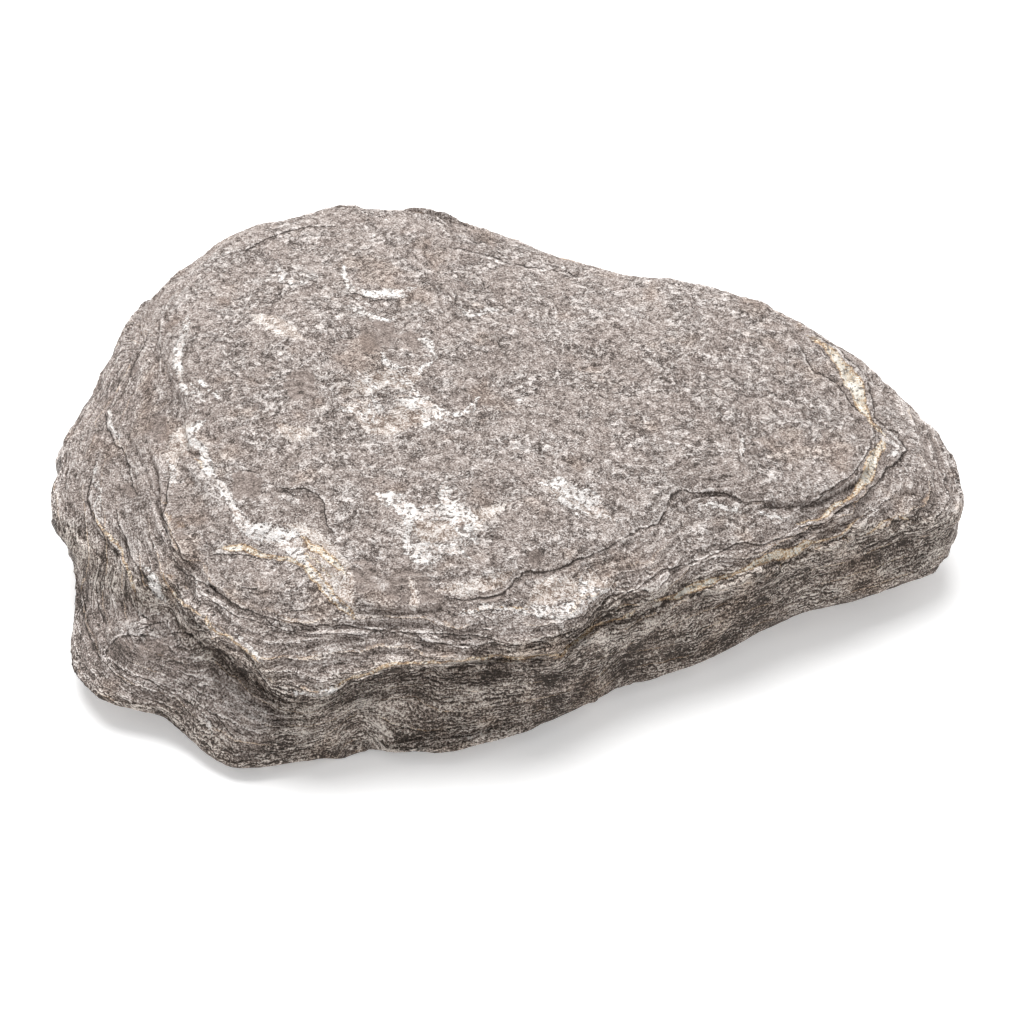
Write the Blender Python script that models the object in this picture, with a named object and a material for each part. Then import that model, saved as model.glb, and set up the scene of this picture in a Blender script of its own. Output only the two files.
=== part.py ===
"""Schist stepping stone: one natural slab of foliated rock.

The body is a loft through the outlines of its rock sheets, from the spot that it rests on up to the crown. Each
outline goes once round the stone. Foliation ledges, hollows and pits are then worked into the loft.
Lengths are in millimetres until the mesh is made. +X is the length, +Y the depth and +Z up.
"""

import math

import bpy
import numpy as np
from mathutils import Vector, noise

MM = 0.001

# Driving dimensions: the box of the finished stone, in millimetres.
LENGTH = 460.0
DEPTH = 370.0
HEIGHT = 104.0

NODE = "stepping_stone"
FACET_BUDGET = 9600
BEARINGS = 300
SEED = Vector((3.1, 7.7, 1.9))

# Rock finish: colour, roughness and metallic value of mottled warm-grey schist.
SCHIST_COLOUR = (0.30, 0.27, 0.245, 1.0)
SCHIST_ROUGHNESS = 0.82

# The stone is drawn round this middle, which is then moved to the origin with the rest of it.
MIDDLE = (-10.0, 35.0)

# Outlines of the rock sheets, bottom to top. A row is a bearing in degrees from +X, a radius and a height.
GROUND_LINE = [
    (0, 84, -1.5), (30, 72, -1.5), (60, 66, -1.5), (90, 74, -1.5), (120, 88, -1.5), (150, 98, -1.5),
    (180, 106, -1.5), (210, 120, -1.5), (232, 122, -1.5), (250, 104, -1.5), (270, 92, -1.5), (290, 84, -1.5),
    (315, 82, -1.5), (340, 88, -1.5),
]
FOOT = [
    (0, 212, 14), (15, 192, 18), (30, 178, 17), (45, 166, 16), (60, 157, 15), (75, 152, 14), (90, 162, 13),
    (105, 178, 12), (120, 196, 12), (135, 208, 12), (150, 211, 12), (165, 209, 12), (180, 209, 14),
    (195, 211, 14), (201, 217, 13), (207, 223, 12), (214, 225, 11), (222, 209, 10), (230, 204, 5),
    (236, 204, 3), (241, 190, 3), (247, 167, 5), (257, 165, 4), (268, 157, 4), (280, 145, 5), (298, 132, 8),
    (312, 141, 6), (324, 148, 8), (335, 163, 10), (343, 190, 10), (350, 214, 10),
]
BELLY = [
    (0, 234, 28), (15, 213, 34), (30, 196, 34), (45, 182, 32), (60, 170, 30), (75, 166, 29), (90, 178, 28),
    (105, 195, 28), (120, 214, 27), (135, 229, 27), (150, 228, 28), (165, 223, 28), (180, 221, 30),
    (192, 219, 28), (201, 216, 26), (207, 225, 21), (216, 226, 20), (224, 208, 22), (232, 207, 20),
    (240, 194, 19), (248, 172, 18), (257, 162, 19), (268, 155, 20), (280, 147, 20), (298, 135, 20),
    (312, 143, 21), (324, 154, 22), (335, 177, 22), (343, 209, 20), (350, 232, 22),
]
HOLLOW = [
    (0, 239, 40), (15, 219, 45), (30, 201, 46), (60, 175, 43), (90, 182, 43), (120, 221, 43), (150, 231, 42),
    (180, 225, 42), (192, 223, 38), (200, 212, 36), (208, 204, 36), (216, 197, 38), (224, 189, 42),
    (232, 184, 42), (240, 183, 37), (246, 172, 38), (254, 158, 42), (264, 149, 44), (278, 147, 44),
    (290, 139, 45), (305, 136, 46), (318, 145, 46), (330, 163, 45), (338, 182, 43), (345, 208, 38),
    (352, 234, 36),
]
LIP = [
    (0, 240, 46), (15, 221, 51), (30, 203, 52), (60, 176, 50), (90, 183, 50), (120, 223, 50), (150, 233, 50),
    (180, 226, 50), (192, 220, 50), (200, 206, 49), (210, 194, 50), (220, 187, 52), (230, 187, 52),
    (236, 188, 48), (241, 187, 42), (246, 179, 43), (254, 164, 50), (264, 156, 52), (278, 156, 52),
    (290, 141, 52), (305, 138, 52), (318, 148, 52), (330, 167, 52), (338, 185, 51), (345, 210, 48),
    (352, 234, 42),
]
LEDGE = [
    (0, 238, 51), (15, 220, 60), (30, 202, 64), (60, 172, 62), (90, 182, 64), (120, 221, 66), (135, 231, 66),
    (150, 230, 64), (165, 225, 62), (180, 220, 60), (190, 212, 60), (199, 195, 61), (209, 190, 58),
    (220, 189, 59), (229, 190, 59), (235, 190, 57), (240, 190, 48), (243, 188, 47), (248, 178, 50),
    (254, 166, 56), (260, 162, 57), (268, 158, 58), (275, 159, 58), (283, 152, 58), (290, 142, 58),
    (303, 140, 58), (312, 144, 58), (325, 157, 58), (333, 172, 58), (339, 185, 57), (345, 207, 54),
    (352, 232, 50),
]
CRACK = [
    (0, 223, 61), (15, 208, 70), (30, 195, 76), (60, 166, 74), (75, 168, 76), (90, 181, 79), (105, 199, 83),
    (120, 217, 86), (135, 225, 86), (150, 215, 84), (165, 205, 79), (180, 189, 75), (193, 177, 73),
    (205, 178, 69), (217, 177, 68), (226, 174, 67), (234, 170, 66), (240, 166, 65), (250, 153, 64),
    (268, 149, 64), (281, 151, 64), (286, 147, 64), (294, 135, 65), (303, 141, 64), (312, 133, 66),
    (320, 141, 66), (327, 153, 66), (336, 170, 66), (345, 197, 63), (352, 216, 61),
]
BED = [
    (0, 212, 66), (15, 201, 76), (30, 190, 81), (60, 162, 79), (75, 163, 81), (90, 177, 84), (105, 194, 89),
    (120, 212, 93), (135, 219, 93), (150, 206, 91), (165, 193, 86), (180, 176, 80), (193, 169, 79),
    (205, 175, 74), (217, 177, 73), (226, 173, 72), (234, 168, 71), (240, 163, 70), (250, 151, 69),
    (268, 146, 69), (281, 147, 70), (286, 143, 70), (294, 130, 71), (303, 135, 70), (312, 129, 72),
    (320, 134, 72), (327, 146, 72), (336, 162, 72), (345, 187, 70), (352, 204, 67),
]
SCARP = [
    (0, 196, 72), (15, 188, 79), (30, 183, 84), (60, 157, 83), (75, 156, 85), (90, 171, 89), (105, 186, 95),
    (120, 204, 98), (135, 212, 97), (150, 201, 93), (165, 186, 88), (178, 160, 86), (188, 157, 81),
    (203, 150, 79), (218, 152, 76), (225, 139, 75), (234, 141, 74), (246, 150, 72), (256, 141, 72),
    (268, 133, 72), (277, 121, 72), (290, 116, 73), (307, 114, 73), (316, 115, 74), (324, 110, 75),
    (330, 112, 75), (336, 152, 74), (346, 180, 73), (354, 193, 72),
]
RIM = [
    (0, 189, 76), (15, 178, 82), (30, 177, 87), (60, 148, 87), (75, 145, 89), (90, 160, 94), (105, 179, 101),
    (120, 194, 104), (135, 200, 102), (150, 186, 99), (165, 173, 95), (178, 153, 91), (188, 152, 87),
    (203, 146, 84), (214, 146, 82), (222, 135, 80), (232, 136, 79), (244, 147, 76), (255, 139, 75),
    (266, 130, 76), (275, 118, 77), (290, 113, 78), (307, 110, 79), (316, 111, 80), (324, 106, 81),
    (330, 108, 81), (335, 140, 79), (346, 176, 77), (354, 187, 76),
]
CROWN = [
    (0, 120, 86), (30, 115, 90), (60, 104, 92), (90, 112, 96), (120, 130, 104), (150, 125, 102), (180, 105, 97),
    (210, 98, 91), (240, 100, 85), (270, 88, 84), (300, 74, 85), (330, 74, 86),
]
APEX = 92.0

SHEETS = [GROUND_LINE, FOOT, BELLY, HOLLOW, LIP, LEDGE, CRACK, BED, SCARP, RIM, CROWN]
ROWS_BETWEEN = [8, 6, 6, 4, 5, 8, 4, 10, 5, 14]
ROWS_TO_APEX = 12
ROWS_TO_GROUND_MIDDLE = 5

# Pits and hollows in the flank: place of the mouth, radius and depth.
PITS = {
    "round_pit": ((-194.0, -71.0, 30.0), 9.0, 6.0),
    "long_pit": ((-178.0, -77.0, 34.0), 13.0, 7.0),
    "small_pit": ((-147.0, -92.0, 40.0), 8.0, 4.0),
    "corner_hollow": ((-148.0, -116.0, 34.0), 12.0, 7.0),
    "high_hollow": ((-162.0, -72.0, 50.0), 12.0, 6.0),
}

PIT_EXTENT = 1.6
PIT_STEEPNESS = 1.8

# Relief that runs all over: wavelength and height of each kind.
LUMPS = ((70.0, 3.0), (31.0, 1.6))

# Sheet edges in the flank: spacing, how far they stand out, how uneven they are and the share of a sheet's
# thickness over which it rises before its edge drops off.
FOLIATION_STEP = 12.5
FOLIATION_RELIEF = 2.1
FOLIATION_FADE = 0.7
SHEET_UNEVENNESS = 1.1
SHEET_RISE_SHARE = 0.72
ALONG_SIZE = 34.0
ALONG_FLATNESS = 0.4
ALONG_SHIFT = 0.35
FOLD_SIZE = 90.0
FOLD_HEIGHT = 9.0
SHEET_TILT = (0.02, 0.075)


def ring_curve(outline, bearings):
    """Radius and height at each bearing, on a smooth closed curve through the outline's rows."""
    rows = np.array(outline, float)
    before = rows[-2:] - (360.0, 0.0, 0.0)
    after = rows[:2] + (360.0, 0.0, 0.0)
    rows = np.vstack([before, rows, after])
    knots = rows[:, 0]
    slopes = np.gradient(rows[:, 1:], knots, axis=0)
    i = np.searchsorted(knots, bearings, side="right") - 1
    gap = (knots[i + 1] - knots[i])[:, None]
    t = ((bearings - knots[i])[:, None]) / gap
    start, end = rows[i, 1:], rows[i + 1, 1:]
    blend = t * t * (3.0 - 2.0 * t)
    bow = t * (1.0 - t)
    return start + blend * (end - start) + bow * gap * ((1.0 - t) * slopes[i] - t * slopes[i + 1])


def profile_curve(levels, steps):
    """Points on a smooth curve through the levels, with a given number of steps from each to the next."""
    levels = np.concatenate([levels[:1] * 2 - levels[1:2], levels, levels[-1:] * 2 - levels[-2:-1]])
    rows = []
    for k, count in enumerate(steps):
        a, b, c, d = levels[k:k + 4]
        for t in np.arange(count) / count:
            rows.append(0.5 * (2 * b + (c - a) * t + (2 * a - 5 * b + 4 * c - d) * t ** 2
                               + (3 * b - a - 3 * c + d) * t ** 3))
    rows.append(levels[-2])
    return np.array(rows)


def loft_rows():
    """Rows of points from the ground line up to the crown outline, each row once round the stone."""
    bearings = np.arange(BEARINGS) * 360.0 / BEARINGS
    levels = np.array([ring_curve(sheet, bearings) for sheet in SHEETS])
    rows = profile_curve(levels, ROWS_BETWEEN)
    crown = rows[-1]
    for k in range(1, ROWS_TO_APEX):
        t = k / ROWS_TO_APEX
        radius = crown[:, 0] * (1 - t)
        height = crown[:, 1] + (APEX - crown[:, 1]) * t * t * (3 - 2 * t)
        rows = np.concatenate([rows, np.stack([radius, height], 1)[None]])
    angle = np.radians(bearings)
    x = MIDDLE[0] + rows[:, :, 0] * np.cos(angle)
    y = MIDDLE[1] + rows[:, :, 0] * np.sin(angle)
    return np.stack([x, y, rows[:, :, 1]], 2)


def loft_mesh():
    """The closed body of the loft, with a middle point at its top and at its bottom."""
    rows = loft_rows()
    ground = rows[0]
    inner = []
    for k in range(ROWS_TO_GROUND_MIDDLE - 1, 0, -1):
        t = k / ROWS_TO_GROUND_MIDDLE
        ring = ground.copy()
        ring[:, :2] = np.array(MIDDLE) + (ring[:, :2] - MIDDLE) * (1 - t)
        inner.append(ring)
    rows = np.concatenate([np.array(inner), rows])
    count = len(rows)
    points = list(rows.reshape(-1, 3)) + [np.array((*MIDDLE, ground[0, 2])), np.array((*MIDDLE, APEX))]
    bottom, top = len(points) - 2, len(points) - 1
    faces = []
    for i in range(BEARINGS):
        j = (i + 1) % BEARINGS
        faces.append((bottom, j, i))
        for k in range(count - 1):
            low, high = k * BEARINGS, (k + 1) * BEARINGS
            faces.append((low + i, low + j, high + j, high + i))
        last = (count - 1) * BEARINGS
        faces.append((last + i, last + j, top))
    mesh = bpy.data.meshes.new(NODE)
    mesh.from_pydata([tuple(p) for p in points], [], faces)
    mesh.validate()
    return mesh


def layer_height(point):
    """Height of a point within the pile of sheets, which is tilted and gently folded."""
    fold = noise.noise(point / FOLD_SIZE + SEED) * FOLD_HEIGHT
    return point.z - SHEET_TILT[0] * point.x - SHEET_TILT[1] * point.y + fold


def sheet_edge(layer):
    """Outline of one broken sheet edge: a slow rise that ends in a sharp drop, from -1 to 1."""
    part = layer % 1.0
    if part < SHEET_RISE_SHARE:
        return 2.0 * part / SHEET_RISE_SHARE - 1.0
    return 1.0 - 2.0 * (part - SHEET_RISE_SHARE) / (1.0 - SHEET_RISE_SHARE)


def relief(point, normal):
    """How far the surface stands out at a point, from lumps and from the edges of thin sheets."""
    height = 0.0
    for size, rise in LUMPS:
        height += noise.noise(point / size + SEED * 2) * rise
    flank = max(0.0, 1.0 - abs(normal.z)) ** FOLIATION_FADE
    along = noise.noise(Vector((point.x, point.y, point.z * ALONG_FLATNESS)) / ALONG_SIZE - SEED)
    layer = layer_height(point) / FOLIATION_STEP + ALONG_SHIFT * along
    layer += SHEET_UNEVENNESS * noise.noise(Vector((0.0, 0.0, layer * 0.4)))
    return height + flank * FOLIATION_RELIEF * (0.75 + along) * sheet_edge(layer)


def pit_depth(point):
    """How far the named pits push the surface in at a point."""
    depth = 0.0
    for mouth, radius, most in PITS.values():
        reach = (point - Vector(mouth)).length / radius
        if reach < PIT_EXTENT:
            depth += most * math.exp(-PIT_STEEPNESS * reach * reach)
    return depth


def outward(point):
    """Direction away from the middle of the stone, as on an ellipsoid of about its size."""
    direction = Vector(((point.x - MIDDLE[0]) / LENGTH ** 2,
                        (point.y - MIDDLE[1]) / DEPTH ** 2,
                        (point.z - HEIGHT / 2) / HEIGHT ** 2))
    return direction.normalized()


def weather(mesh):
    """Moves each point in or out by the relief and the pits."""
    moves = []
    for vertex in mesh.vertices:
        out = relief(vertex.co, vertex.normal) - pit_depth(vertex.co)
        moves.append(vertex.co + outward(vertex.co) * out)
    for vertex, place in zip(mesh.vertices, moves):
        vertex.co = place


def fit_to_size(mesh):
    """Centres the body on the origin in plan, gives it the driving dimensions and turns it into metres."""
    places = np.array([vertex.co for vertex in mesh.vertices])
    low, high = places.min(0), places.max(0)
    middle = (low + high) / 2
    scale = np.array((LENGTH, DEPTH, 0.0)) / (high - low)
    scale[2] = HEIGHT / high[2]
    middle[2] = 0.0
    for vertex, place in zip(mesh.vertices, (places - middle) * scale * MM):
        vertex.co = place


def schist():
    material = bpy.data.materials.new("schist")
    material.use_nodes = True
    shader = material.node_tree.nodes["Principled BSDF"]
    shader.inputs["Base Color"].default_value = SCHIST_COLOUR
    shader.inputs["Roughness"].default_value = SCHIST_ROUGHNESS
    shader.inputs["Metallic"].default_value = 0.0
    return material


def ground_block(collection):
    """The block that cuts the underside flat at the height of the ground."""
    bpy.ops.mesh.primitive_cube_add(size=1.0)
    block = bpy.context.object
    block.name = "ground_block"
    block.scale = (2 * LENGTH * MM, 2 * DEPTH * MM, HEIGHT * MM)
    block.location = (0.0, 0.0, -HEIGHT * MM / 2)
    block.hide_render = True
    block.display_type = "WIRE"
    for owner in block.users_collection:
        owner.objects.unlink(block)
    collection.objects.link(block)
    return block


def stepping_stone(collection, block):
    mesh = loft_mesh()
    weather(mesh)
    fit_to_size(mesh)
    mesh.materials.append(schist())
    stone = bpy.data.objects.new(NODE, mesh)
    collection.objects.link(stone)
    facets = stone.modifiers.new("facets", "DECIMATE")
    facets.ratio = FACET_BUDGET / sum(len(face.vertices) - 2 for face in mesh.polygons)
    rest = stone.modifiers.new("rest_spot", "BOOLEAN")
    rest.operation = "DIFFERENCE"
    rest.solver = "EXACT"
    rest.object = block
    return stone


def new_collection(name):
    collection = bpy.data.collections.new(name)
    bpy.context.scene.collection.children.link(collection)
    return collection


def main():
    for old in list(bpy.data.objects):
        bpy.data.objects.remove(old)
    stone_parts = new_collection("schist_stepping_stone")
    cutters = new_collection("cutters")
    stepping_stone(stone_parts, ground_block(cutters))


main()
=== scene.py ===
"""Looks of the schist stepping stone: fine rock surface, schist and quartz finish, floor, light and camera."""

import math
from itertools import product
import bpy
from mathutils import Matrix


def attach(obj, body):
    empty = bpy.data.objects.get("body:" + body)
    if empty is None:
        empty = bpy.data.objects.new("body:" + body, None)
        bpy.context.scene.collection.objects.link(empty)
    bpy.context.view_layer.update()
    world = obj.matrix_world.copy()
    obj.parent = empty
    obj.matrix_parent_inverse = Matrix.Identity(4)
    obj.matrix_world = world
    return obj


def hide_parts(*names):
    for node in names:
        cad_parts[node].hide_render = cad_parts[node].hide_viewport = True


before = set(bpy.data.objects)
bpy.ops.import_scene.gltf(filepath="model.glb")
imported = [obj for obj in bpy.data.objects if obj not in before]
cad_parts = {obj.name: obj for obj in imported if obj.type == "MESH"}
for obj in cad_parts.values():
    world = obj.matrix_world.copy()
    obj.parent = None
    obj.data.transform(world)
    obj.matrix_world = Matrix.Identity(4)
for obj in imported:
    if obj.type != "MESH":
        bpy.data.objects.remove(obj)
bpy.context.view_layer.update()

from types import SimpleNamespace

import bpy
import numpy as np
from mathutils import Vector

NODE = "stepping_stone"
MM = 0.001

# The photograph's camera. Lengths are in millimetres, pixels are those of its square frame.
FRAME_PIXELS = 1024
LENS = 70.0
SENSOR = 36.0
CAMERA_ELEVATION = math.radians(38.0)
CAMERA_TARGET = np.array([1.1, -43.0, 44.4])
CAMERA_DISTANCE = 996.0

# Lights: strength of the studio's walls and of the floor, and the key's place, size and power.
STUDIO_LIGHT = 0.50
FLOOR_GLOW = 0.30
KEY = ((-0.3, 1.15, 2.5), 2.6, 112.0)

# The floor's size in metres, and its shade.
FLOOR_SIZE = 12.0
FLOOR_SHADE = 0.9

# Surface mesh: the gap that is welded, the cells of the remeshing, in millimetres, and the most triangles.
WELD_GAP = 0.01
VOXEL = 1.1
FACE_BUDGET = 196000
SMOOTH_STEPS = 9
# The stone's middle and half size.
STONE_MIDDLE = np.array([-8.0, -12.0, 52.0])
STONE_REACH = np.array([230.0, 185.0, 52.0])

# Foliation: tilt of the sheets in X and Y, and the folds in them as wavelength and height.
SHEET_TILT = (-0.005, 0.07)
FOLDS = ((95.0, 6.0), (38.0, 2.4), (15.0, 0.9))

# Folded sheets of the front flank, as height in the pile and the line seen there, in pixels of the photograph.
GUIDES = (
    (56.0, [(205, 628), (236, 650), (251, 664), (262, 678), (272, 692), (290, 700), (308, 704), (322, 702), (335, 695),
        (352, 685), (389, 674), (428, 669), (479, 667), (524, 667), (560, 664), (575, 650), (595, 636), (629, 624),
        (657, 612), (700, 595)]),
    (45.0, [(205, 650), (230, 680), (255, 698), (285, 711), (305, 714), (320, 711), (335, 703), (351, 698), (378, 693),
        (399, 687), (428, 686), (441, 690), (470, 690), (500, 686), (540, 682), (570, 676), (600, 664), (625, 650),
        (660, 636), (700, 618)]),
    (36.0, [(200, 672), (222, 705), (245, 722), (275, 728), (311, 727), (330, 722), (342, 715), (357, 706), (380, 701),
        (399, 697), (415, 698), (426, 708), (440, 713), (466, 712), (482, 709), (510, 704), (550, 698), (585, 690),
        (605, 676), (625, 662), (650, 660), (700, 640)]),
    (28.0, [(195, 690), (215, 722), (235, 742), (260, 747), (290, 743), (310, 739), (325, 734), (338, 727), (348, 717),
        (358, 713), (370, 714), (386, 719), (403, 725), (428, 731), (457, 726), (495, 719), (530, 712), (565, 704),
        (600, 692), (640, 678), (700, 652)]),
    (22.0, [(190, 705), (210, 738), (235, 758), (270, 757), (300, 752), (322, 747), (337, 741), (346, 730), (357, 725),
        (366, 725), (378, 733), (388, 741), (405, 744), (440, 741), (480, 734), (520, 724), (560, 712), (600, 698),
        (640, 686), (700, 662)]),
)
# Columns of the photograph between which the folded sheets are drawn in full, and how far out they fade.
GUIDED_COLUMNS = (240, 580)
GUIDE_FADE = 60.0
# How far above the first line they start, in pixels, and how far below the last they go on, in sheets.
GUIDE_LEAD = 12.0
GUIDE_TAIL = 3.0
# Sheets that bend down round the left corner: the line they follow there, its height in the pile, the rise of the
# sheets a pixel, how far from the line they follow it fully and at all, and the columns where they stop, in pixels.
CORNER_LINE = ((128, 366), (104, 404), (86, 446), (78, 490), (80, 530), (84, 562), (80, 590), (84, 622), (94, 650),
               (112, 674), (142, 690), (176, 702), (206, 726), (232, 752))
CORNER_HEIGHT = 26.0
CORNER_RISE = 0.5
CORNER_REACH = (34.0, 78.0)
CORNER_COLUMNS = (165, 225)

# Hollows, and swellings where the depth is negative: place and half sizes in pixels of the photograph, turn in
# degrees, depth in millimetres.
HOLLOWS = (
    (618, 667, 36, 11, 28, 6.0), (752, 617, 24, 14, 30, 6.0), (893, 548, 28, 14, 32, 7.0), (700, 648, 44, 8, 24, 3.0),
    (355, 695, 28, 8, 24, 4.0), (410, 682, 42, 8, 10, 4.5), (490, 678, 62, 9, 0, 4.5), (560, 676, 28, 9, 12, 3.5),
    (121, 650, 15, 12, 0, 5.5), (153, 655, 16, 13, 30, 6.0), (178, 668, 14, 12, 0, 4.0), (207, 691, 13, 7, 0, 4.5),
    (222, 655, 16, 8, -30, 2.5), (350, 722, 9, 16, -20, 2.0), (600, 648, 24, 9, 30, -1.5), (300, 716, 30, 9, 0, -1.0),
    (82, 580, 14, 22, 0, 2.0), (888, 600, 52, 12, 24, 2.4), (440, 218, 40, 16, -14, 1.4), (768, 302, 50, 12, -26, 1.8),
    (90, 388, 14, 30, 30, 2.6), (362, 751, 34, 12, 0, -6.0), (58, 508, 16, 44, 0, -2.0), (630, 691, 34, 12, 22, -3.5),
    (957, 530, 16, 34, 0, -4.5), (872, 374, 46, 14, -44, -2.6), (64, 440, 12, 26, 20, -2.0),
    (235, 246, 40, 14, 30, -2.4), (150, 316, 46, 14, 46, -2.0), (205, 745, 38, 14, -36, -2.4),
    (72, 650, 12, 40, 0, -1.8), (350, 208, 60, 12, 0, -1.4), (270, 770, 50, 12, 10, 1.6), (203, 477, 9, 36, 30, -2.2),
)
# How sharply a hollow's rim bends.
HOLLOW_SHARPNESS = 1.5

# Relief of the flanks, as sheet thickness, how far a sheet runs and how far it stands out.
FLANK_SHEETS = ((15.0, 56.0, 5.0), (7.0, 32.0, 2.4), (3.2, 19.0, 1.0))
# Share of its thickness by which a sheet wavers, how unlike the next sheet is, where within a sheet the next one
# begins, and the height and rounding of its bevel.
SHEET_WAVER = 0.45
SHEET_CHANGE = 3.7
SHEET_END = 0.8
SHEET_BEVEL = (0.4, 0.86)
# Steps of the slopes and the top, as thickness, share kept on level ground, and the waves in a step's outline.
STEPS = ((4.6, 0.12, ((46.0, 2.6), (15.0, 1.1), (6.0, 0.45))),
         (1.9, 0.45, ((30.0, 1.6), (11.0, 0.9), (4.5, 0.4))))
# Where a step's riser starts, how much later on level ground, and how much of a step is kept on slopes.
STEP_FOOT = (0.72, 0.2)
STEP_KEPT = 0.5
# Fine grain of the surface, as wavelength and height.
GRAIN = ((12.0, 0.36), (5.5, 0.26), (2.8, 0.22))

# Where the relief fades in: height above the ground, and the upward share of the surface's direction for flanks,
# level ground, the underside, steps and the far sides of hollows.
ABOVE_GROUND = (1.0, 9.0)
STEEP = (0.85, 0.5)
LEVEL = (0.78, 0.97)
UNDER = (-0.2, -0.6)
STEPPED = (0.3, 0.6)
HOLLOWS_SEEN = (-0.7, -0.3)
# How much the underside calms the sheets and the grain.
UNDER_CALM = (0.6, 0.5)

# Seeds of the waves.
SEEDS = {"stray": 20, "grain": 30, "folds": 40, "blotches": 50, "flaky": 52, "rust": 54, "waver": 60, "sheets": 70,
         "steps": 80, "uneven": 90}

# How far drawn lines wander, as wavelength in millimetres and reach in pixels.
WANDER = ((16.0, 2.6), (6.0, 1.6), (3.0, 1.0))

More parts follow.
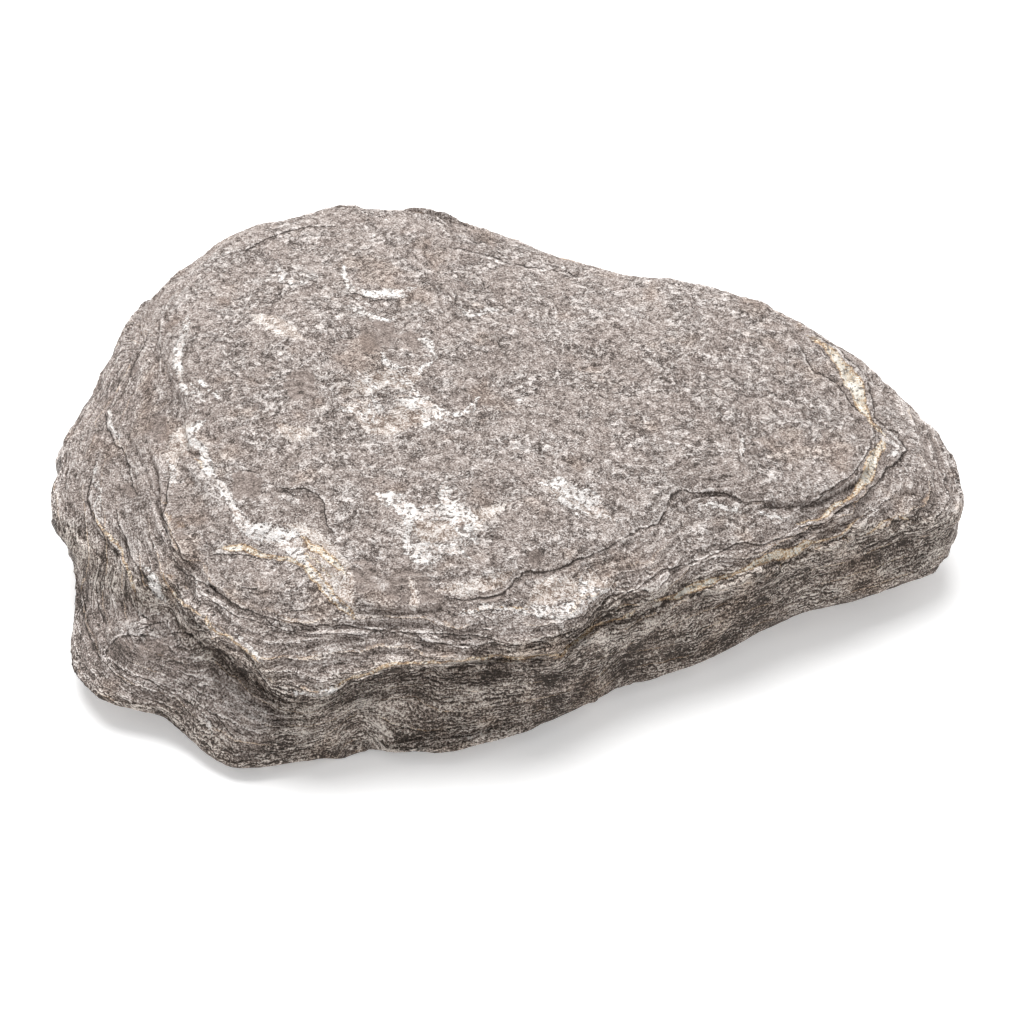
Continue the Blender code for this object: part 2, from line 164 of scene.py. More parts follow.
# Ledge lines, in pixels of the photograph, walked with the upper sheet on the left: how far the lip rises and how
# far in that reaches, how deep the crack beneath it is and how wide, in millimetres, then the line. Where the depth is
# negative, the ground below the line is raised instead.
LEDGES = (
    (0.9, 9, 3.6, 2.6, [(440, 598), (463, 600), (479, 598), (500, 592), (513, 580), (523, 572), (540, 569), (560, 566),
        (598, 552), (632, 534), (657, 524), (667, 512), (670, 494), (682, 486), (693, 492), (725, 492), (744, 501),
        (774, 498)]),
    (0.8, 6, 0.8, 1.6, [(440, 622), (463, 613), (494, 609), (519, 612), (545, 620), (583, 616), (604, 598)]),
    (1.0, 10, 2.8, 2.8, [(614, 600), (643, 585), (661, 569), (682, 564), (704, 558), (722, 549), (744, 542), (765, 543),
        (800, 534), (828, 531)]),
    (1.0, 9, 2.2, 2.4, [(171, 560), (185, 574), (210, 586), (229, 600), (253, 612), (273, 617), (309, 624), (343, 624),
        (379, 629), (418, 634), (443, 634), (479, 636), (509, 645), (555, 636), (581, 626), (596, 613), (614, 602)]),
    (1.2, 10, 1.6, 2.2, [(163, 604), (182, 605), (203, 621), (217, 633), (236, 642), (251, 656), (262, 668), (268, 688),
        (284, 695), (305, 701), (320, 699), (333, 692)]),
    (1.6, 10, 9.0, 9.0, [(305, 701), (320, 699), (333, 692), (351, 682), (389, 671), (428, 666), (479, 664), (524, 664),
        (560, 661), (573, 646), (593, 631)]),
    (-0.8, 8, -8.0, 24.0, [(573, 646), (593, 631), (629, 619), (657, 606), (698, 591), (721, 582), (736, 578),
        (759, 569), (776, 563), (811, 553), (829, 543), (844, 539), (856, 524)]),
    (0.5, 5, 1.0, 1.6, [(186, 584), (206, 597), (227, 611), (252, 621), (275, 627), (309, 633), (343, 633),
        (382, 638)]),
    (0.4, 5, 0.9, 1.6, [(400, 641), (430, 642), (462, 644), (500, 652), (530, 650), (556, 645), (584, 636)]),
    (0.8, 9, 1.2, 3.0, [(171, 455), (169, 476), (163, 514), (173, 527), (178, 547), (186, 566)]),
    (1.4, 6, 2.8, 4.0, [(96, 470), (92, 483), (89, 501), (93, 519), (108, 541), (118, 553), (126, 571), (131, 591)]),
    (1.2, 6, 2.6, 3.6, [(116, 505), (119, 521), (127, 538), (131, 558), (144, 574), (152, 589), (161, 601)]),
    (0.8, 6, 1.6, 3.0, [(104, 400), (108, 424), (116, 444), (126, 452), (134, 480), (138, 501)]),
    (0.9, 10, 1.2, 3.0, [(785, 516), (806, 505), (823, 494), (843, 480), (858, 468), (870, 450), (875, 434), (870, 418),
        (850, 402), (836, 386), (814, 371), (782, 321)]),
    (1.2, 7, 2.0, 3.4, [(786, 532), (804, 527), (822, 522), (842, 506), (861, 497), (876, 483), (887, 470), (900, 456),
        (905, 449), (898, 436), (884, 428), (874, 418), (872, 400), (866, 375), (848, 360), (834, 346), (814, 335)]),
    (0.8, 12, 2.0, 4.5, [(274, 489), (289, 489), (306, 487), (317, 492), (326, 504), (328, 525), (340, 538)]),
    (0.7, 6, 1.6, 2.5, [(262, 474), (250, 472), (238, 471)]),
    (0.7, 6, 1.8, 2.6, [(203, 556), (226, 553), (245, 554), (258, 558), (288, 561)]),
    (0.8, 6, 2.4, 3.0, [(238, 589), (250, 588), (263, 588)]),
    (0.8, 8, 1.8, 2.6, [(282, 610), (300, 609), (318, 604)]),
    (1.4, 7, 6.0, 5.5, [(104, 646), (112, 640), (118, 634), (131, 632), (150, 635), (162, 640)]),
    (1.2, 6, 5.0, 5.0, [(134, 620), (150, 622), (168, 621)]),
    (1.0, 5, 2.0, 3.0, [(86, 556), (83, 590), (86, 622), (95, 650), (112, 672), (132, 684), (156, 693)]),
    (1.0, 5, 2.2, 3.2, [(97, 634), (106, 656), (124, 670), (150, 680), (176, 692), (200, 710), (222, 738)]),
    (0.8, 5, 1.8, 2.6, [(100, 556), (97, 586), (100, 610), (110, 628)]),
    (0.8, 5, 2.0, 3.0, [(186, 690), (206, 706), (224, 726), (244, 748)]),
    (1.4, 6, 6.0, 5.5, [(163, 634), (176, 631), (190, 634), (202, 646)]),
    (0.8, 6, 2.6, 4.0, [(158, 662), (172, 659), (184, 661)]),
    (1.0, 6, 5.0, 6.0, [(190, 682), (200, 686), (214, 686)]),
    (0.8, 5, 2.6, 3.6, [(201, 652), (207, 647), (216, 645), (226, 652), (236, 663), (247, 671), (258, 671)]),
    (1.4, 8, 6.0, 9.0, [(838, 560), (860, 548), (880, 540), (905, 530), (930, 526)]),
    (1.0, 6, 2.6, 4.5, [(880, 514), (897, 522), (912, 515), (930, 504)]),
    (0.8, 9, 1.4, 3.0, [(205, 266), (230, 252), (260, 243), (288, 229), (321, 225), (347, 229)]),
    (0.7, 8, 1.2, 3.0, [(600, 281), (564, 272), (527, 268), (499, 260), (473, 253), (430, 242)]),
    (0.7, 8, 1.2, 3.0, [(152, 330), (140, 352), (128, 380), (122, 402)]),
    (0.7, 6, 1.2, 3.0, [(300, 283), (290, 285), (276, 284)]),
    (0.7, 6, 1.3, 3.0, [(338, 292), (352, 293), (364, 296), (374, 300), (392, 299), (406, 298)]),
)

# Unevenness of the ledges, as wavelength and weight, and how it shows in lip and crack, as least share and weight.
UNEVENNESS = ((22.0, 1.0), (8.0, 0.6))
UNEVEN_LIP = (0.5, 0.7)
UNEVEN_CRACK = (0.75, 0.8)
# Share of a crack's depth that is cut, share of a line's length in which it tapers, where the lip passes into the
# crack, in millimetres from the line, and how far round a line is looked at, in pixels.
CRACK_CUT = 0.45
LEDGE_TAPER = 0.12
LIP_TO_CRACK = (-0.6, 0.4)
LEDGE_MARGIN = 60.0

# Broad steps that are evened out before the ledges are cut, how far on both sides of their line, in pixels.
EVENED_LEDGES = 4
EVENED_LINES = [line for *_, line in LEDGES[:EVENED_LEDGES]] + [
    [(192, 441), (206, 467), (226, 494), (242, 523), (263, 529), (290, 538), (302, 556), (321, 583), (347, 610)]]
EVENED_REACH = (16.0, 34.0)
# How much the ground below those ledges is raised, and how far out, in millimetres.
EVENED_FILL = (0.8, 16.0)
# Smoothing steps of the evened ground, and the share of a line's length over which it tapers.
EVENING_STEPS = 450
EVENED_TAPER = 0.06

# Half width of the stroke of painted shade in a crack: least, growth with the crack's depth and most, in pixels.
CRACK_STROKE = (0.6, 0.22, 1.5)
# How far round a stroke is looked at and how far its colour may reach, the width that stands for no stroke, and how
# much a face must look towards the photograph's camera to have one.
STROKE_MARGIN = 16.0
STROKE_REACH = 8.0
NO_STROKE = -40.0
STROKE_SEEN = 0.3

# Strokes of colour: place and half width, in pixels of the photograph.
WHITE = (
    [(384, 498, 6), (398, 500, 5), (404, 508, 6), (415, 515, 6), (430, 514, 6), (446, 511, 8), (460, 512, 7),
     (470, 516, 5), (478, 520, 2)],
    [(452, 518, 5), (460, 522, 6), (466, 530, 8), (472, 537, 3)],
    [(447, 508, 6), (444, 494, 5), (445, 483, 2)],
    [(406, 513, 3), (408, 530, 2), (405, 541, 3), (411, 550, 6), (425, 549, 6), (440, 550, 5), (454, 550, 5),
     (464, 557, 1)],
    [(412, 556, 2), (425, 563, 2.5), (438, 560, 1)],
    [(545, 484, 1.5), (558, 482, 2), (566, 486, 5), (577, 494, 6), (588, 503, 6), (600, 512, 4), (612, 518, 1)],
    [(556, 494, 2), (566, 503, 2.5), (577, 513, 1)],
    [(588, 490, 2), (600, 500, 2)],
    [(538, 608, 2), (548, 612, 6), (562, 611, 8), (575, 608, 7), (587, 604, 4)],
    [(584, 582, 3), (587, 592, 3)],
    [(594, 597, 3), (598, 590, 3), (607, 592, 2)],
    [(459, 614, 1), (468, 611, 2), (480, 608, 2.5), (494, 607, 2), (505, 608, 2), (519, 611, 2), (540, 617, 2)],
    [(186, 322, 2), (182, 334, 2), (181, 346, 4), (178, 360, 4), (179, 374, 2.5), (184, 388, 2), (193, 393, 2),
     (200, 399, 1)],
    [(203, 383, 2), (211, 388, 1.5), (218, 394, 1)],
    [(200, 424, 2), (189, 432, 3), (192, 441, 3), (200, 447, 3), (205, 457, 5), (206, 467, 3), (213, 478, 2),
     (222, 485, 3), (226, 494, 4), (230, 502, 2.5), (236, 512, 4), (242, 523, 6), (251, 530, 7), (263, 532, 9),
     (276, 536, 9), (290, 541, 10), (298, 550, 7), (304, 560, 3)],
    [(314, 573, 1), (321, 582, 2), (329, 594, 1.5), (338, 602, 2), (347, 610, 1)],
    [(404, 402, 4), (415, 404, 8), (425, 407, 10), (434, 412, 8), (428, 419, 5)],
    [(440, 411, 3), (452, 414, 2), (463, 414, 1.5), (471, 407, 3), (475, 402, 1.5)],
    [(397, 379, 2), (410, 382, 2.5), (414, 390, 2.5), (420, 398, 3)],
    [(402, 377, 1.5), (416, 374, 2), (426, 367, 2)],
    [(341, 411, 1), (350, 410, 2.5), (360, 414, 4), (366, 419, 3)],
    [(366, 378, 4), (374, 384, 3)],
    [(376, 403, 1.5), (382, 413, 2)],
    [(383, 358, 2), (386, 366, 2), (398, 366, 2)],
    [(422, 341, 2), (430, 346, 2.5), (433, 353, 1.5)],
    [(341, 271, 1), (344, 280, 2), (352, 288, 2.5), (362, 291, 2), (372, 295, 3.5), (385, 293, 3.5), (397, 292, 3.5),
     (405, 294, 2.5), (412, 288, 1)],
    [(279, 270, 2), (283, 278, 3), (291, 281, 2.5), (302, 281, 1)],
    [(299, 274, 1), (308, 276, 1.5), (318, 276, 1)],
    [(350, 308, 1.5), (360, 311, 2.5), (367, 316, 1.5), (376, 318, 1.5), (392, 320, 0.6)],
    [(461, 307, 1.5), (470, 314, 2), (481, 312, 1.5), (492, 310, 2)],
    [(742, 442, 2), (742, 449, 3)],
    [(701, 505, 1), (716, 504, 2.5), (727, 508, 2), (740, 511, 1)],
    [(763, 512, 1), (771, 518, 1.5), (784, 519, 1)],
    [(97, 500, 2), (97, 516, 2)],
    [(96, 466, 1), (95, 476, 1), (99, 488, 1)],
    [(143, 567, 1), (151, 573, 1.5), (157, 582, 1), (159, 592, 1.5), (164, 599, 1)],
    [(148, 578, 1), (153, 590, 1.5), (161, 599, 1.5)],
    [(110, 414, 1), (112, 428, 1), (117, 437, 1)],
    [(262, 660, 1), (250, 648, 1), (241, 640, 1.5)],
    [(285, 690, 0.5), (300, 696, 1.5), (318, 695, 1.5), (332, 689, 1)],
    [(884, 437, 3), (891, 440, 2), (899, 446, 1.5), (899, 452, 2), (890, 456, 1)],
    [(171, 468, 3), (172, 478, 2)],
    [(205, 722, 1), (209, 730, 1.5)],
)
CREAM = (
    [(302, 556, 3), (308, 566, 4.5), (315, 575, 5), (322, 584, 4.5), (330, 595, 4), (338, 602, 4), (347, 610, 3.5),
     (354, 616, 1)],
    [(304, 540, 2), (312, 546, 3.5), (324, 552, 4), (333, 560, 4), (339, 569, 3)],
    [(812, 338, 1), (826, 346, 2.5), (834, 356, 4), (843, 368, 6), (852, 379, 8), (858, 390, 8), (861, 402, 5),
     (866, 412, 3), (871, 422, 2), (879, 430, 2)],
    [(884, 440, 3), (881, 448, 4), (876, 456, 6), (872, 466, 7), (867, 477, 6), (860, 486, 4), (852, 495, 2.5),
     (843, 500, 1.5), (834, 506, 2.5), (826, 512, 2), (815, 518, 1.5), (800, 524, 1)],
    [(655, 602, 0.8), (675, 598, 2), (690, 591, 4), (700, 587, 5), (711, 581, 3.5), (722, 577, 2), (735, 574, 2),
     (748, 568, 3), (757, 563, 3.5), (766, 558, 4.5), (776, 556, 4.5), (786, 553, 4.5), (798, 549, 4), (808, 545, 3),
     (820, 542, 1.5), (832, 538, 1), (843, 536, 1), (849, 527, 1.5), (856, 519, 1)],
    [(223, 549, 1), (230, 548, 2), (241, 547, 3), (252, 551, 4), (262, 555, 3), (275, 557, 2), (289, 558, 2.5),
     (299, 563, 1.5), (306, 569, 1)],
    [(202, 463, 3), (206, 466, 2)],
    [(466, 612, 1.5), (480, 609, 1.5), (500, 606, 1.5), (519, 608, 1.5)],
    [(95, 520, 1), (102, 530, 1.5), (110, 537, 2.5), (117, 545, 2), (121, 553, 1), (128, 570, 1), (131, 580, 1.5),
     (135, 591, 1)],
    [(184, 604, 1), (190, 609, 1.5), (196, 613, 1)],
    [(204, 618, 1), (210, 628, 1.2), (217, 634, 1.2), (228, 637, 1.2), (238, 644, 1), (248, 652, 1), (258, 659, 1)],
    [(164, 578, 1), (168, 588, 1.2), (177, 597, 1)],
    [(330, 690, 0.8), (352, 679, 1), (370, 672, 1.5), (388, 667, 1.8), (410, 664, 1), (450, 660, 0.8), (479, 659, 1),
     (500, 658, 1.2), (524, 659, 1.6), (545, 655, 1), (560, 655, 1.5), (572, 642, 1), (596, 626, 1.5), (616, 619, 1.2),
     (632, 611, 1.2)],
    [(905, 520, 1), (896, 516, 0.8), (880, 524, 1), (868, 532, 1)],
)
TAN = (
    [(296, 532, 8), (308, 541, 12), (320, 553, 14), (332, 566, 14), (340, 580, 12), (344, 594, 8), (350, 606, 4)],
    [(530, 602, 4), (540, 594, 12), (556, 588, 13), (572, 588, 12), (582, 590, 6)],
    [(350, 409, 5), (362, 416, 9), (376, 424, 10), (392, 424, 11), (406, 416, 13), (422, 410, 13), (438, 414, 8)],
    [(410, 524, 6), (430, 532, 12), (450, 528, 12), (470, 522, 10), (486, 514, 8), (498, 508, 4)],
    [(478, 512, 5), (488, 508, 6), (496, 506, 3)],
    [(545, 484, 3), (556, 490, 7), (575, 500, 8), (592, 508, 8), (606, 514, 5)],
    [(190, 432, 8), (182, 440, 8), (172, 456, 5), (172, 476, 5)],
    [(360, 388, 7), (372, 382, 9), (388, 376, 7), (404, 382, 8), (418, 374, 6)],
    [(284, 428, 6), (294, 434, 8), (306, 434, 5)],
    [(262, 318, 5), (276, 324, 8), (290, 332, 7), (299, 337, 3)],
    [(446, 588, 5), (466, 588, 7), (486, 582, 8), (506, 574, 6)],
    [(592, 576, 5), (600, 588, 7), (612, 584, 5)],
    [(412, 586, 3), (416, 600, 4)],
)
# Ground between strokes that is plain dark grey, without speckles: place and radius, and the shares of the radius
# between which it fades in.
PLAIN = ((408, 588, 20), (430, 600, 16), (362, 575, 16), (350, 590, 12), (248, 486, 16), (158, 430, 14),
         (130, 489, 9), (376, 334, 20), (410, 340, 12), (120, 648, 13), (152, 651, 14), (175, 668, 12),
         (536, 556, 9), (490, 592, 14), (245, 675, 16), (300, 385, 18))
PLAIN_EDGE = (1.3, 0.6)

# Painted shade, as shares of the tone set just below: beneath, near the ground, low on the front, in hollows anywhere
# and on the front, where it is partly dirt, and on the left, with the heights and directions between which it comes in.
SHADE_AND_DIRT_TONE = 0.09
BENEATH = (0.15, -0.5)
GROUND_SHADE = (1.4, 8.0)
FRONT = (0.2, 0.8)
FRONT_SHADE = (0.5, 40.0, 8.0)
HOLLOW_DIRT_AND_SHADE = (0.14, 0.16)
HOLLOW_RANGE = (-0.5, 6.0)
LEFT = (0.2, 0.7)
LEFT_SHADE = 0.1
# Painted highlight where the surface bends out and painted shade where it bends in, as tone of edges, tone of
# bulges and its limits, and blotches, flaky ground and rust as wavelengths and weights.
EDGE_TONE = 0.16
BULGE_TONE = 0.03
EDGE_LIGHT_AND_SHADE_LIMITS = (-0.2, 0.12)
BLOTCHES = ((52.0, 0.035), (19.0, 0.035))
FLAKY_WAVES = ((17.0, 1.0), (7.0, 0.5))
FLAKY = (-0.25, 0.3)
RUST_WAVES = ((31.0, 1.0), (9.0, 0.5))
RUST = (0.25, 0.7)
# Smoothing steps for edges, for bulges and for the general lie of the surface, and the upward share of that lie for
# flanks and slopes.
NEAR_STEPS = 3
BROAD_STEPS = 24
LIE_STEPS = 90
FLANK = (0.86, 0.60)
SLOPE = (0.96, 0.80)
DAMP = (0.2, 0.7)

# Noises of the finish, as scale, detail, roughness and distortion.
FINE = (1150.0, 1.0, 0.7, 0.3)
FLAKES = (105.0, 4.0, 0.62, 0.5)
LACE_LINES = (230.0, 3.0, 0.55, 1.2)
CRUMBS = (300.0, 4.0, 0.6, 0.8)
SCALES = (1.0, 2.0, 0.6, 0.5)
BUNDLES = (0.4, 1.0, 0.5, 0.4)
PITS = (480.0, 1.0, 0.5, 0.3)
# Scale of the layers' own noise along the sheets and across them, and the furrows in them a metre.
ALONG_SHEETS = 170.0
ACROSS_SHEETS = 330.0
FURROWS = 3600.0

# Colours by tone: of the schist, the quartz, the cream seams and the pale ground round them.
SCHIST_TONES = ((0.20, (0.052, 0.040, 0.033)), (0.36, (0.172, 0.136, 0.118)), (0.48, (0.318, 0.262, 0.235)),
                (0.60, (0.482, 0.420, 0.388)), (0.78, (0.87, 0.81, 0.775)))
QUARTZ_TONES = ((0.30, (0.27, 0.20, 0.165)), (0.42, (0.62, 0.53, 0.48)), (0.57, (0.97, 0.93, 0.90)))
SEAM_TONES = ((0.26, (0.26, 0.15, 0.08)), (0.42, (0.66, 0.44, 0.25)), (0.52, (0.88, 0.74, 0.56)),
              (0.62, (0.98, 0.93, 0.84)))
PALE_TONES = ((0.34, (0.22, 0.16, 0.125)), (0.50, (0.56, 0.455, 0.39)), (0.66, (0.92, 0.86, 0.815)))
RUST_TINT = (0.80, 0.64, 0.50, 1.0)
DAMP_TINT = (0.97, 0.94, 0.89, 1.0)
PIT_COLOUR = (0.14, 0.10, 0.08, 1.0)
# Painted light across a step, from its upper edge to the next one's: painted highlight on the lip, plain ground,
# painted shade at the foot.
STEP_SHADES = ((0.0, 1.0), (0.06, 0.95), (0.12, 0.54), (0.6, 0.5), (0.86, 0.40), (0.96, 0.02), (1.0, 0.5))


def hashed(cells, seed):
    """A repeatable whole number for each cell."""
    n = cells[..., 0] * 73856093 ^ cells[..., 1] * 19349663 ^ cells[..., 2] * 83492791 ^ (seed * 2654435 + 1013)
    n = n & 0x7FFFFFFF
    n = (n ^ (n >> 13)) * 1274126177 & 0x7FFFFFFF
    return (n ^ (n >> 16)) * 668265263 & 0x7FFFFFFF


def waves(points, size, seed=0):
    """Smooth gradient noise between about -1 and 1, with the given wavelength."""
    place = points / size
    cell = np.floor(place).astype(np.int64)
    part = place - cell
    ease = part * part * part * (part * (part * 6 - 15) + 10)
    total = np.zeros(len(points))
    for corner in product((0, 1), repeat=3):
        n = hashed(cell + corner, seed)
        slope = np.stack([n & 1023, n >> 10 & 1023, n >> 20 & 1023], 1) / 511.5 - 1.0
        share = np.prod(np.where(corner, ease, 1.0 - ease), axis=1)
        total += share * np.sum(slope * (part - corner), axis=1)
    return total * 1.7


def smoothstep(low, high, value):
    t = np.clip((value - low) / (high - low), 0.0, 1.0)
    return t * t * (3.0 - 2.0 * t)


def camera_axes():
    back = np.array([0.0, -math.cos(CAMERA_ELEVATION), math.sin(CAMERA_ELEVATION)])
    up = np.array([0.0, math.sin(CAMERA_ELEVATION), math.cos(CAMERA_ELEVATION)])
    return CAMERA_TARGET + CAMERA_DISTANCE * back, up, -back


def to_pixels(points):
    """Where the photograph's camera sees each point, and how many pixels a millimetre takes there."""
    place, up, ahead = camera_axes()
    away = points - place
    scale = LENS / SENSOR * FRAME_PIXELS / (away @ ahead)
    pixels = np.stack([FRAME_PIXELS / 2 + scale * away[:, 0], FRAME_PIXELS / 2 - scale * (away @ up)], 1)
    return pixels, scale


def seen(points, normals, low=0.0, high=0.15):
    """1 where a face looks towards the photograph's camera, 0 where it looks away."""
    towards = camera_axes()[0] - points
    towards /= np.linalg.norm(towards, axis=1)[:, None]
    return smoothstep(low, high, np.sum(towards * normals, axis=1))


def follow(pixels, line):
    """Distance to a line of points, positive on its left, and the share of its length passed, for each pixel."""
    nodes = np.array(line, float)
    lengths = np.hypot(*np.diff(nodes[:, :2], axis=0).T)
    start_share = np.concatenate([[0.0], np.cumsum(lengths)]) / lengths.sum()
    nearest = np.full(len(pixels), 1e9)
    offset = np.zeros(len(pixels))
    passed = np.zeros(len(pixels))
    for k, (start, end) in enumerate(zip(nodes[:-1], nodes[1:])):
        along = end[:2] - start[:2]
        t = np.clip(((pixels - start[:2]) @ along) / (along @ along), 0.0, 1.0)
        to = pixels - start[:2] - t[:, None] * along
        away = np.hypot(to[:, 0], to[:, 1])
        closer = away < nearest
        side = np.where(to[:, 0] * along[1] - to[:, 1] * along[0] > 0.0, 1.0, -1.0)
        nearest = np.where(closer, away, nearest)
        offset = np.where(closer, away * side, offset)
        passed = np.where(closer, start_share[k] + t * lengths[k] / lengths.sum(), passed)
    return offset, passed


def ledge_strokes():
    """The ledge lines as strokes of painted shade, whose half width follows the crack's depth."""
    strokes = []
    least, growth, most = CRACK_STROKE
    for _, _, depth, _, line in LEDGES:
        inner = [(x, y, min(least + growth * abs(depth), most)) for x, y in line[1:-1]]
        strokes.append([(*line[0], 0.0)] + inner + [(*line[-1], 0.0)])
    return strokes


def stray(points):
    """Pixels by which drawn lines wander."""
    return np.stack([layered_waves(points, WANDER, SEEDS["stray"] + k) for k in (0, 5)], 1)


def around(pixels, line, margin):
    """Which pixels lie within a margin of the box round a line."""
    low = np.min(line, axis=0) - margin
    high = np.max(line, axis=0) + margin
    return np.flatnonzero(np.all((pixels > low) & (pixels < high), axis=1))


def stroke_field(pixels, strokes):
    """Signed distance from the nearest stroke's middle and its half width there, in pixels."""
    best = np.full(len(pixels), 1e9)
    offset = np.full(len(pixels), -NO_STROKE)
    width = np.full(len(pixels), NO_STROKE)
    for stroke in strokes:
        nodes = np.array(stroke, float)
        near = around(pixels, nodes[:, :2], STROKE_MARGIN)
        if not len(near):
            continue
        away, passed = follow(pixels[near], nodes)
        lengths = np.concatenate([[0.0], np.cumsum(np.hypot(*np.diff(nodes[:, :2], axis=0).T))])
        here = np.interp(passed, lengths / lengths[-1], nodes[:, 2])
        closer = np.abs(away) - here < best[near]
        chosen = near[closer]
        best[chosen] = (np.abs(away) - here)[closer]
        offset[chosen] = away[closer]
        width[chosen] = here[closer]
    width[best > STROKE_REACH] = NO_STROKE
    return offset, width


def read(mesh):
    points = np.empty(len(mesh.vertices) * 3, np.float32)
    mesh.vertices.foreach_get("co", points)
    normals = np.empty(len(mesh.vertices) * 3, np.float32)
    mesh.vertex_normals.foreach_get("vector", normals)
    return points.reshape(-1, 3).astype(float) / MM, normals.reshape(-1, 3).astype(float)


def write(mesh, points):
    mesh.vertices.foreach_set("co", (points * MM).astype(np.float32).ravel())
    mesh.update()


def with_modifiers(stone, *kinds):
    """Replaces the stone's mesh by what the given modifiers make of it."""
    for kind, settings in kinds:
        modifier = stone.modifiers.new(kind.lower(), kind)
        for name, value in settings.items():
            setattr(modifier, name, value)
    graph = bpy.context.evaluated_depsgraph_get()
    made = bpy.data.meshes.new_from_object(stone.evaluated_get(graph))
    stone.modifiers.clear()
    stone.data = made


def layered_waves(points, sizes, seed):
    """Waves of several lengths, each times its weight, added up."""
    return sum(weight * waves(points, size, seed + k) for k, (size, weight) in enumerate(sizes))


def layer_height(points):
    """Height of each point within the pile of sheets."""
    height = points[:, 2] - SHEET_TILT[0] * points[:, 0] - SHEET_TILT[1] * points[:, 1]
    return height + layered_waves(points, FOLDS, SEEDS["folds"])


def guided_layer(points, pixels, facing):
    """Height within the pile of sheets, following the folds drawn for the front flank."""
    plain = layer_height(points)
    lines = [np.interp(pixels[:, 0], *np.transpose(line)) for _, line in GUIDES]
    drawn = np.full(len(points), GUIDES[0][0])
    for k in range(len(GUIDES) - 1):
        past_last = 1.0 if k < len(GUIDES) - 2 else GUIDE_TAIL
        passed = np.clip((pixels[:, 1] - lines[k]) / (lines[k + 1] - lines[k]), 0.0, past_last)
        drawn += (GUIDES[k + 1][0] - GUIDES[k][0]) * passed
    left, right = GUIDED_COLUMNS
    share = smoothstep(left - GUIDE_FADE, left, pixels[:, 0]) * smoothstep(right + GUIDE_FADE, right, pixels[:, 0])
    share *= smoothstep(-GUIDE_LEAD, 0.0, pixels[:, 1] - lines[0]) * facing
    return plain + (drawn - plain) * share


def cornered_layer(layer, pixels, facing):
    """The same height where the sheets seen at the left corner bend down round it."""
    away = follow(pixels, CORNER_LINE)[0]
    share = smoothstep(CORNER_REACH[1], CORNER_REACH[0], np.abs(away)) * facing
    share *= smoothstep(CORNER_COLUMNS[1], CORNER_COLUMNS[0], pixels[:, 0])
    return layer + (CORNER_HEIGHT + CORNER_RISE * away - layer) * share


def hollow_relief(pixels):
    """Hollows and swellings of the visible flanks."""
    out = np.zeros(len(pixels))
    for x, y, half_width, half_height, turn, depth in HOLLOWS:
        cosine = math.cos(math.radians(turn))
        sine = math.sin(math.radians(turn))
        right = pixels[:, 0] - x
        down = pixels[:, 1] - y
        across = (right * cosine - down * sine) / half_width
        along = (right * sine + down * cosine) / half_height
        out -= depth * np.exp(-(across ** 2 + along ** 2) ** HOLLOW_SHARPNESS)
    return out


def flank_relief(points, layer):
    """How far each sheet's edge stands out of the flank."""
    out = np.zeros(len(points))
    bevel, rounding = SHEET_BEVEL
    for k, (thickness, reach, rise) in enumerate(FLANK_SHEETS):
        place = layer / thickness + SHEET_WAVER * waves(points, reach / 2.0, SEEDS["waver"] + k)
        index = np.floor(place)
        part = place - index
        sheet = [waves(np.stack([points[:, 0] / reach, points[:, 1] / reach, (index + n) * SHEET_CHANGE], 1), 1.0,
                       SEEDS["sheets"] + k) for n in (0, 1)]
        out += rise * (sheet[0] + (sheet[1] - sheet[0]) * smoothstep(SHEET_END, 1.0, part))
        out += rise * bevel * (part * smoothstep(1.0, rounding, part) - 0.4)
    return out


def step_height(points, layer, k):
    """Height counted in steps, with each step's wavy outline."""
    thickness, _, outline = STEPS[k]
    return (layer + layered_waves(points, outline, SEEDS["steps"] + 5 * k)) / thickness


def step_relief(points, layer, level):
    """Steps where thin flakes have come off, lower and sharper on level ground."""
    out = np.zeros(len(points))
    foot = STEP_FOOT[0] + STEP_FOOT[1] * level
    for k, (thickness, kept, _) in enumerate(STEPS):
        place = step_height(points, layer, k)
        part = place - np.floor(place)
        out += thickness * (smoothstep(foot, 1.0, part) - part) * (STEP_KEPT + (kept - STEP_KEPT) * level)
    return out


def ledge_relief(points, pixels, scale):
    """Lips and cracks along the ledge lines."""
    out = np.zeros(len(points))
    uneven = layered_waves(points, UNEVENNESS, SEEDS["uneven"])
    uneven_lip = UNEVEN_LIP[0] + UNEVEN_LIP[1] * uneven
    uneven_crack = UNEVEN_CRACK[0] + UNEVEN_CRACK[1] * uneven
    wandering = pixels + stray(points)
    for k, (rise, reach, depth, width, line) in enumerate(LEDGES):
        near = around(wandering, line, LEDGE_MARGIN)
        away, passed = follow(wandering[near], line)
        away /= scale[near]
        ends = smoothstep(0.0, LEDGE_TAPER, passed) * smoothstep(1.0, 1.0 - LEDGE_TAPER, passed)
        lip = rise * np.exp(-np.maximum(away, 0.0) / reach) * uneven_lip[near]
        crack = CRACK_CUT * depth * smoothstep(1.0, 0.0, -away / width) * uneven_crack[near]
        inner = smoothstep(*LIP_TO_CRACK, away)
        if k < EVENED_LEDGES:
            crack -= EVENED_FILL[0] * smoothstep(EVENED_FILL[1], 0.0, -away)
        out[near] += ends * (lip * inner - crack * (1.0 - inner))
    return out


def evened(points, even_points, pixels, facing):
    """The surface with its broad steps along the first ledge lines smoothed away."""
    share = np.zeros(len(points))
    near, far = EVENED_REACH
    for line in EVENED_LINES:
        away, passed = follow(pixels, line)
        ends = smoothstep(0.0, EVENED_TAPER, passed) * smoothstep(1.0, 1.0 - EVENED_TAPER, passed)
        share = np.maximum(share, smoothstep(far, near, np.abs(away)) * ends)
    return points + (share * facing)[:, None] * (even_points - points)


